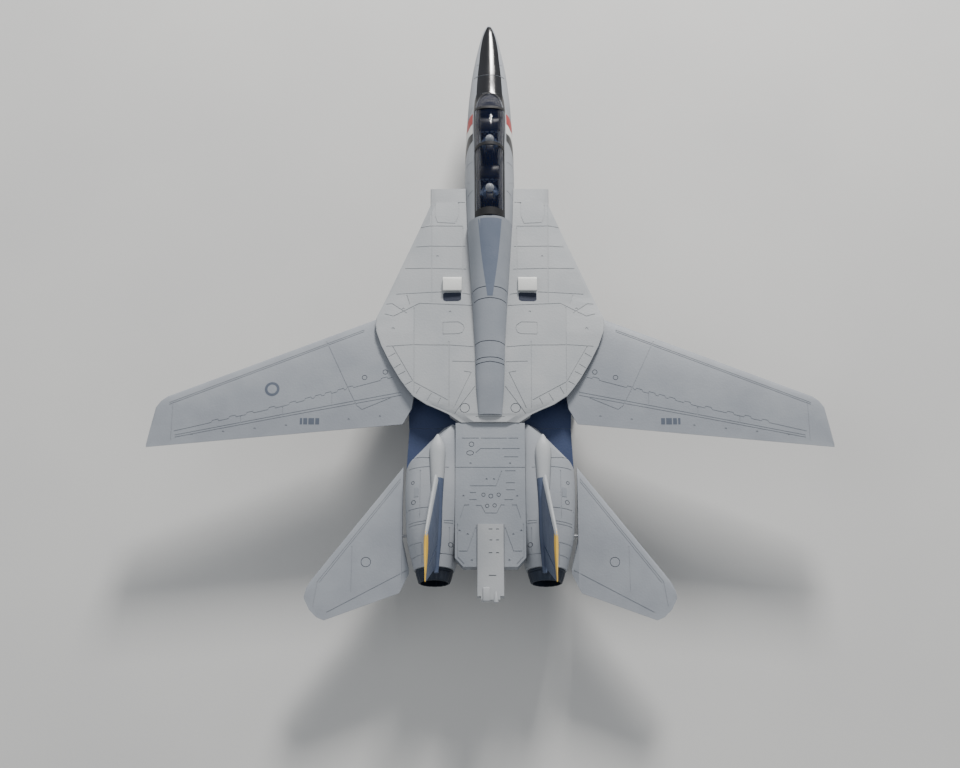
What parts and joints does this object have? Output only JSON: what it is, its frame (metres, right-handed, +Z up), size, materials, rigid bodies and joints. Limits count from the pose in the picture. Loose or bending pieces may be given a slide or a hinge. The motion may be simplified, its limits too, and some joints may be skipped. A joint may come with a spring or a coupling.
{
  "type": "ducted fan swing-wing model jet",
  "caption": "Foam radio-controlled jet with wings that fold aft, twin ducted fans, canted fins, tandem cockpit hatch and tricycle wheels.",
  "frame": {"origin": "on the ground under the middle of the model's length and span, standing on its wheels", "axes": "+Y to the nose, +X to the right wing tip, +Z up"},
  "size_m": [0.757, 0.7444, 0.193],
  "materials": {
    "foam_grey": "painted bead-moulded foam, satin",
    "foam_pale": "painted bead-moulded foam, satin",
    "canopy_clear": "clear moulded plastic, glossy",
    "canopy_black": "gloss black paint",
    "cockpit_dark": "matt dark grey",
    "pilot_white": "satin pale paint",
    "black_plastic": "moulded nylon",
    "nozzle_dark": "dark grey moulded plastic",
    "steel": "drawn wire and rod",
    "motor_case": "anodised",
    "tyre": "moulded rubber",
    "battery_wrap": "heat-shrink wrap",
    "wheel_hub": "moulded nylon hub",
    "marking_dark": "printed waterslide film"
  },
  "bodies": {
    "airframe": {"nose_cone": "foam_grey", "front_fuselage": "foam_grey", "upper_shell": "foam_grey", "spine_cover": "foam_grey", "lower_shell": "foam_grey", "rear_deck": "foam_grey", "intake_duct_right": "foam_grey", "intake_duct_left": "foam_grey", "nacelle_right": "foam_grey", "nacelle_left": "foam_grey", "fin_right": "foam_grey", "fin_left": "foam_grey", "ventral_fin_right": "foam_grey", "ventral_fin_left": "foam_grey", "tail_boom": "foam_pale", "vent_block_right": "foam_pale", "vent_block_left": "foam_pale", "receiver": "black_plastic", "speed_controller": "black_plastic", "stab_servo_right": "black_plastic", "stab_servo_left": "black_plastic", "fan_housing_right": "black_plastic", "fan_housing_left": "black_plastic", "sweep_servo_right": "black_plastic", "sweep_servo_left": "black_plastic", "nozzle_right": "nozzle_dark", "nozzle_left": "nozzle_dark", "wing_pivot_right": "steel", "wing_pivot_left": "steel", "main_strut_right": "steel", "main_strut_left": "steel", "fan_motor_right": "motor_case", "fan_motor_left": "motor_case", "battery": "battery_wrap"},
    "hatch": {"canopy_glass": "canopy_clear", "canopy_frame": "canopy_black", "cockpit_tub": "cockpit_dark", "front_seat": "cockpit_dark", "rear_seat": "cockpit_dark", "front_pilot": "pilot_white", "rear_pilot": "pilot_white"},
    "wing_right": {"wing_right": "foam_grey"},
    "sweep_horn_right": {"sweep_horn_right": "black_plastic"},
    "sweep_link_right": {"sweep_link_right": "steel"},
    "stab_right": {"stab_right": "foam_grey", "stab_shaft_right": "steel"},
    "rudder_right": {"rudder_right": "foam_grey"},
    "fan_rotor_right": {"fan_rotor_right": "black_plastic"},
    "main_wheel_right": {"main_wheel_right": "tyre"},
    "wing_left": {"wing_left": "foam_grey"},
    "sweep_horn_left": {"sweep_horn_left": "black_plastic"},
    "sweep_link_left": {"sweep_link_left": "steel"},
    "stab_left": {"stab_left": "foam_grey", "stab_shaft_left": "steel"},
    "rudder_left": {"rudder_left": "foam_grey"},
    "fan_rotor_left": {"fan_rotor_left": "black_plastic"},
    "main_wheel_left": {"main_wheel_left": "tyre"},
    "nose_leg": {"nose_strut": "steel"},
    "nose_wheel": {"nose_wheel": "tyre"}
  },
  "joints": [
    {"name": "canopy_hatch", "type": "hinge", "parent": "airframe", "child": "hatch", "pos_m": [0, 0.07845, 0.141], "axis": [1, 0, 0], "range_deg": [0, 50]},
    {"name": "wing_sweep_right", "type": "hinge", "parent": "airframe", "child": "wing_right", "pos_m": [0.105, -0.05475, 0.095], "axis": [0, 0, -1], "range_deg": [0, 46]},
    {"name": "sweep_crank_right", "type": "hinge", "parent": "airframe", "child": "sweep_horn_right", "pos_m": [0.012, -0.05475, 0.087], "axis": [0, 0, -1], "range_deg": [0, 46]},
    {"name": "sweep_link_pin_right", "type": "hinge", "parent": "sweep_horn_right", "child": "sweep_link_right", "pos_m": [0.022, -0.03743, 0.086], "axis": [0, 0, -1], "range_deg": [-46, 0]},
    {"name": "wing_sweep_left", "type": "hinge", "parent": "airframe", "child": "wing_left", "pos_m": [-0.105, -0.05475, 0.095], "axis": [0, 0, 1], "range_deg": [0, 46]},
    {"name": "sweep_crank_left", "type": "hinge", "parent": "airframe", "child": "sweep_horn_left", "pos_m": [-0.012, -0.05475, 0.087], "axis": [0, 0, 1], "range_deg": [0, 46]},
    {"name": "sweep_link_pin_left", "type": "hinge", "parent": "sweep_horn_left", "child": "sweep_link_left", "pos_m": [-0.022, -0.03743, 0.086], "axis": [0, 0, 1], "range_deg": [-46, 0]},
    {"name": "tailplane_right", "type": "hinge", "parent": "airframe", "child": "stab_right", "pos_m": [0.092, -0.27975, 0.075], "axis": [1, 0, 0], "range_deg": [-15, 12]},
    {"name": "tailplane_left", "type": "hinge", "parent": "airframe", "child": "stab_left", "pos_m": [-0.092, -0.27975, 0.075], "axis": [1, 0, 0], "range_deg": [-15, 12]},
    {"name": "rudder_right", "type": "hinge", "parent": "airframe", "child": "rudder_right", "pos_m": [0.05917, -0.30275, 0.115], "axis": [0.075, -0.5091, 0.8574], "range_deg": [-25, 25]},
    {"name": "rudder_left", "type": "hinge", "parent": "airframe", "child": "rudder_left", "pos_m": [-0.05917, -0.30275, 0.115], "axis": [-0.075, -0.5091, 0.8574], "range_deg": [-25, 25]},
    {"name": "fan_spin_right", "type": "hinge", "parent": "airframe", "child": "fan_rotor_right", "pos_m": [0.0603, -0.22075, 0.079], "axis": [0, 1, 0], "continuous": true},
    {"name": "fan_spin_left", "type": "hinge", "parent": "airframe", "child": "fan_rotor_left", "pos_m": [-0.0603, -0.22075, 0.079], "axis": [0, 1, 0], "continuous": true},
    {"name": "nose_steer", "type": "hinge", "parent": "airframe", "child": "nose_leg", "pos_m": [0, 0.21225, 0.0554], "axis": [0, 0, 1], "range_deg": [-30, 30]},
    {"name": "nose_wheel_spin", "type": "hinge", "parent": "nose_leg", "child": "nose_wheel", "pos_m": [0, 0.20825, 0.011], "axis": [1, 0, 0], "continuous": true},
    {"name": "main_wheel_spin_right", "type": "hinge", "parent": "airframe", "child": "main_wheel_right", "pos_m": [0.0975, -0.09775, 0.015], "axis": [1, 0, 0], "continuous": true},
    {"name": "main_wheel_spin_left", "type": "hinge", "parent": "airframe", "child": "main_wheel_left", "pos_m": [-0.0975, -0.09775, 0.015], "axis": [1, 0, 0], "continuous": true}
  ],
  "couplings": [
    {"joint": "wing_sweep_left", "follows": "wing_sweep_right", "ratio": 1},
    {"joint": "sweep_crank_right", "follows": "wing_sweep_right", "ratio": 1},
    {"joint": "sweep_link_pin_right", "follows": "wing_sweep_right", "ratio": -1},
    {"joint": "sweep_crank_left", "follows": "wing_sweep_right", "ratio": 1},
    {"joint": "sweep_link_pin_left", "follows": "wing_sweep_right", "ratio": -1},
    {"joint": "rudder_left", "follows": "rudder_right", "ratio": 1}
  ]
}
